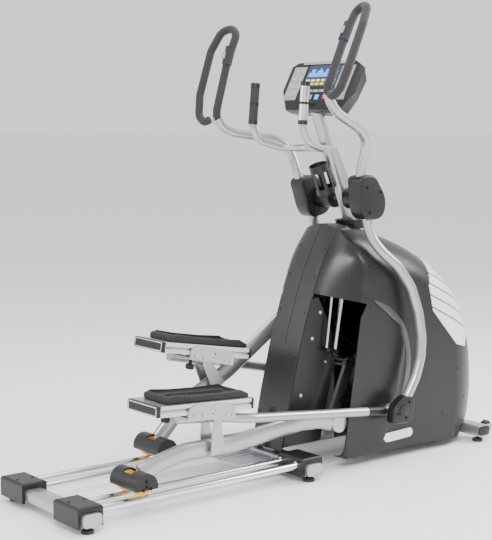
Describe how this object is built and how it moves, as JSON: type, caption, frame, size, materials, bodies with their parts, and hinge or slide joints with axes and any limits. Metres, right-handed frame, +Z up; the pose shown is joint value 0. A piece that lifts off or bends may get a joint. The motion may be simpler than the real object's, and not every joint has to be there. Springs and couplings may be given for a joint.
{
  "type": "elliptical trainer",
  "caption": "Front-drive cross trainer with swinging arms, roller arms on guide rails, pedals, shrouded drive and console.",
  "frame": {"origin": "on the floor under the centre of the outer box", "axes": "+X the way the user faces, +Y the user's left, +Z up"},
  "size_m": [2.134, 0.7894, 1.8121],
  "materials": {
    "silver_paint": "satin",
    "rail_chrome": "polished",
    "charcoal_shell": "fine texture",
    "dark_moulding": "fine texture",
    "white_accent": "satin",
    "aluminium": "brushed",
    "tread_rubber": "textured",
    "foam": "foam",
    "roller_urethane": "satin",
    "foot_rubber": "matt",
    "steel": "machined",
    "belt_rubber": "matt",
    "screen_glass": "gloss",
    "green_key": "gloss",
    "red_key": "gloss",
    "grey_key": "satin"
  },
  "bodies": {
    "root": {"rear_crossbar": "silver_paint", "middle_crossbar": "silver_paint", "front_crossbar": "silver_paint", "guide_rails": "rail_chrome", "saddle_covers": "dark_moulding", "track_plate": "aluminium", "main_frame": "silver_paint", "mast": "silver_paint", "right_shroud": "charcoal_shell", "left_shroud": "charcoal_shell", "spine_panel": "charcoal_shell", "accent_panels": "white_accent", "inner_guards": "dark_moulding", "guide_stays": "rail_chrome", "mast_boot": "charcoal_shell", "drive_belt": "belt_rubber", "brake_unit": "aluminium", "console_housing": "dark_moulding", "console_screen": "screen_glass", "fixed_handlebar": "silver_paint", "pulse_grips": "foam", "bottle_cage": "dark_moulding"},
    "crank_set": {"crank_axle": "steel", "crank_arms": "steel", "drive_pulley": "dark_moulding"},
    "flywheel_body": {"flywheel": "steel"},
    "transport_wheel_pair": {"transport_wheels": "dark_moulding"},
    "rear_feet": {"rear_levelling_feet": "foot_rubber"},
    "middle_feet": {"middle_levelling_feet": "foot_rubber"},
    "front_feet": {"front_levelling_feet": "foot_rubber"},
    "start_key": {"start_button": "green_key"},
    "stop_key": {"stop_button": "red_key"},
    "right_roller_truck": {"right_roller_housing": "dark_moulding"},
    "right_wheel_pair": {"right_roller_wheels": "roller_urethane"},
    "right_roller_lever": {"right_roller_arm": "silver_paint"},
    "right_pedal_lever": {"right_connecting_arm": "silver_paint", "right_pedal_beam": "aluminium", "right_pedal_end_caps": "dark_moulding"},
    "right_foot_tray": {"right_footplate": "tread_rubber"},
    "right_pull_knob": {"right_pedal_knob": "dark_moulding"},
    "right_swing": {"right_swing_arm": "silver_paint", "right_shoulder_cover": "dark_moulding", "right_lower_joint_cover": "dark_moulding", "right_handle_grip": "foam"},
    "right_switch_key": {"right_grip_switch": "grey_key"},
    "left_roller_truck": {"left_roller_housing": "dark_moulding"},
    "left_wheel_pair": {"left_roller_wheels": "roller_urethane"},
    "left_roller_lever": {"left_roller_arm": "silver_paint"},
    "left_pedal_lever": {"left_connecting_arm": "silver_paint", "left_pedal_beam": "aluminium", "left_pedal_end_caps": "dark_moulding"},
    "left_foot_tray": {"left_footplate": "tread_rubber"},
    "left_pull_knob": {"left_pedal_knob": "dark_moulding"},
    "left_swing": {"left_swing_arm": "silver_paint", "left_shoulder_cover": "dark_moulding", "left_lower_joint_cover": "dark_moulding", "left_handle_grip": "foam"},
    "left_switch_key": {"left_grip_switch": "grey_key"}
  },
  "joints": [
    {"name": "right_stride", "type": "slide", "parent": "root", "child": "right_roller_truck", "axis": [1, 0, 0], "range_m": [-0.08, 0.395]},
    {"name": "right_wheel_roll", "type": "hinge", "parent": "right_roller_truck", "child": "right_wheel_pair", "pos_m": [-0.78295, 0, 0.119], "axis": [0, 1, 0], "continuous": true},
    {"name": "right_arm_pitch", "type": "hinge", "parent": "right_roller_truck", "child": "right_roller_lever", "pos_m": [-0.78295, 0, 0.119], "axis": [0, 1, 0], "range_deg": [-17.32, 3.79]},
    {"name": "right_pedal_pivot", "type": "hinge", "parent": "right_roller_lever", "child": "right_pedal_lever", "pos_m": [-0.4412, 0, 0.30994], "axis": [0, 1, 0], "range_deg": [-4.04, 18.55]},
    {"name": "right_swing_pivot", "type": "hinge", "parent": "root", "child": "right_swing", "pos_m": [0.362, 0, 1.062], "axis": [0, 1, 0], "range_deg": [-23, 4.94]},
    {"name": "right_footplate_tilt", "type": "hinge", "parent": "right_pedal_lever", "child": "right_foot_tray", "pos_m": [-0.29505, 0, 0.36215], "axis": [0, 1, 0], "range_deg": [0, 10]},
    {"name": "right_knob_pull", "type": "slide", "parent": "right_pedal_lever", "child": "right_pull_knob", "axis": [-0.0559, 0, -0.9984], "range_m": [0, 0.01], "stiffness_N_per_m": 600, "springref_m": -0.004},
    {"name": "right_switch_rock", "type": "hinge", "parent": "right_swing", "child": "right_switch_key", "pos_m": [0.10682, -0.268, 1.70672], "axis": [0, 1, 0], "range_deg": [-4, 4], "stiffness_Nm_per_rad": 0.6},
    {"name": "left_stride", "type": "slide", "parent": "root", "child": "left_roller_truck", "axis": [1, 0, 0], "range_m": [-0.395, 0.08]},
    {"name": "left_wheel_roll", "type": "hinge", "parent": "left_roller_truck", "child": "left_wheel_pair", "pos_m": [-0.44445, 0, 0.119], "axis": [0, 1, 0], "continuous": true},
    {"name": "left_arm_pitch", "type": "hinge", "parent": "left_roller_truck", "child": "left_roller_lever", "pos_m": [-0.44445, 0, 0.119], "axis": [0, 1, 0], "range_deg": [-3.79, 17.32]},
    {"name": "left_pedal_pivot", "type": "hinge", "parent": "left_roller_lever", "child": "left_pedal_lever", "pos_m": [-0.23038, 0, 0.44676], "axis": [0, 1, 0], "range_deg": [-18.43, 4.01]},
    {"name": "left_swing_pivot", "type": "hinge", "parent": "root", "child": "left_swing", "pos_m": [0.362, 0, 1.062], "axis": [0, 1, 0], "range_deg": [-4.56, 21.15]},
    {"name": "left_footplate_tilt", "type": "hinge", "parent": "left_pedal_lever", "child": "left_foot_tray", "pos_m": [-0.0793, 0, 0.48227], "axis": [0, 1, 0], "range_deg": [0, 10]},
    {"name": "left_knob_pull", "type": "slide", "parent": "left_pedal_lever", "child": "left_pull_knob", "axis": [-0.1674, 0, -0.9859], "range_m": [0, 0.01], "stiffness_N_per_m": 600, "springref_m": -0.004},
    {"name": "left_switch_rock", "type": "hinge", "parent": "left_swing", "child": "left_switch_key", "pos_m": [-0.03585, 0.268, 1.62989], "axis": [0, 1, 0], "range_deg": [-4, 4], "stiffness_Nm_per_rad": 0.6},
    {"name": "flywheel_spin", "type": "hinge", "parent": "root", "child": "flywheel_body", "pos_m": [0.64, 0, 0.3], "axis": [0, 1, 0], "continuous": true},
    {"name": "crank_spin", "type": "hinge", "parent": "root", "child": "crank_set", "pos_m": [0.277, 0, 0.41], "axis": [0, 1, 0], "continuous": true},
    {"name": "transport_spin", "type": "hinge", "parent": "root", "child": "transport_wheel_pair", "pos_m": [1.04, 0, 0.048], "axis": [0, 1, 0], "continuous": true},
    {"name": "rear_feet_screw", "type": "slide", "parent": "root", "child": "rear_feet", "axis": [0, 0, 1], "range_m": [-0.012, 0]},
    {"name": "middle_feet_screw", "type": "slide", "parent": "root", "child": "middle_feet", "axis": [0, 0, 1], "range_m": [-0.012, 0]},
    {"name": "front_feet_screw", "type": "slide", "parent": "root", "child": "front_feet", "axis": [0, 0, 1], "range_m": [-0.012, 0]},
    {"name": "start_press", "type": "slide", "parent": "root", "child": "start_key", "axis": [0.8829, 0, -0.4695], "range_m": [0, 0.003], "stiffness_N_per_m": 800, "springref_m": -0.001},
    {"name": "stop_press", "type": "slide", "parent": "root", "child": "stop_key", "axis": [0.8829, 0, -0.4695], "range_m": [0, 0.003], "stiffness_N_per_m": 800, "springref_m": -0.001}
  ],
  "couplings": [
    {"joint": "right_wheel_roll", "follows": "right_stride", "rad_per_m": 25.84},
    {"joint": "right_arm_pitch", "follows": "right_stride", "rad_per_m": -0.75},
    {"joint": "right_pedal_pivot", "follows": "right_stride", "rad_per_m": 0.804},
    {"joint": "right_swing_pivot", "follows": "right_stride", "rad_per_m": -1.001},
    {"joint": "left_stride", "follows": "right_stride", "ratio": -1},
    {"joint": "left_wheel_roll", "follows": "right_stride", "rad_per_m": -25.84},
    {"joint": "left_arm_pitch", "follows": "right_stride", "rad_per_m": 0.75},
    {"joint": "left_pedal_pivot", "follows": "right_stride", "rad_per_m": -0.799},
    {"joint": "left_swing_pivot", "follows": "right_stride", "rad_per_m": 0.919},
    {"joint": "crank_spin", "follows": "flywheel_spin", "ratio": 0.23077}
  ]
}
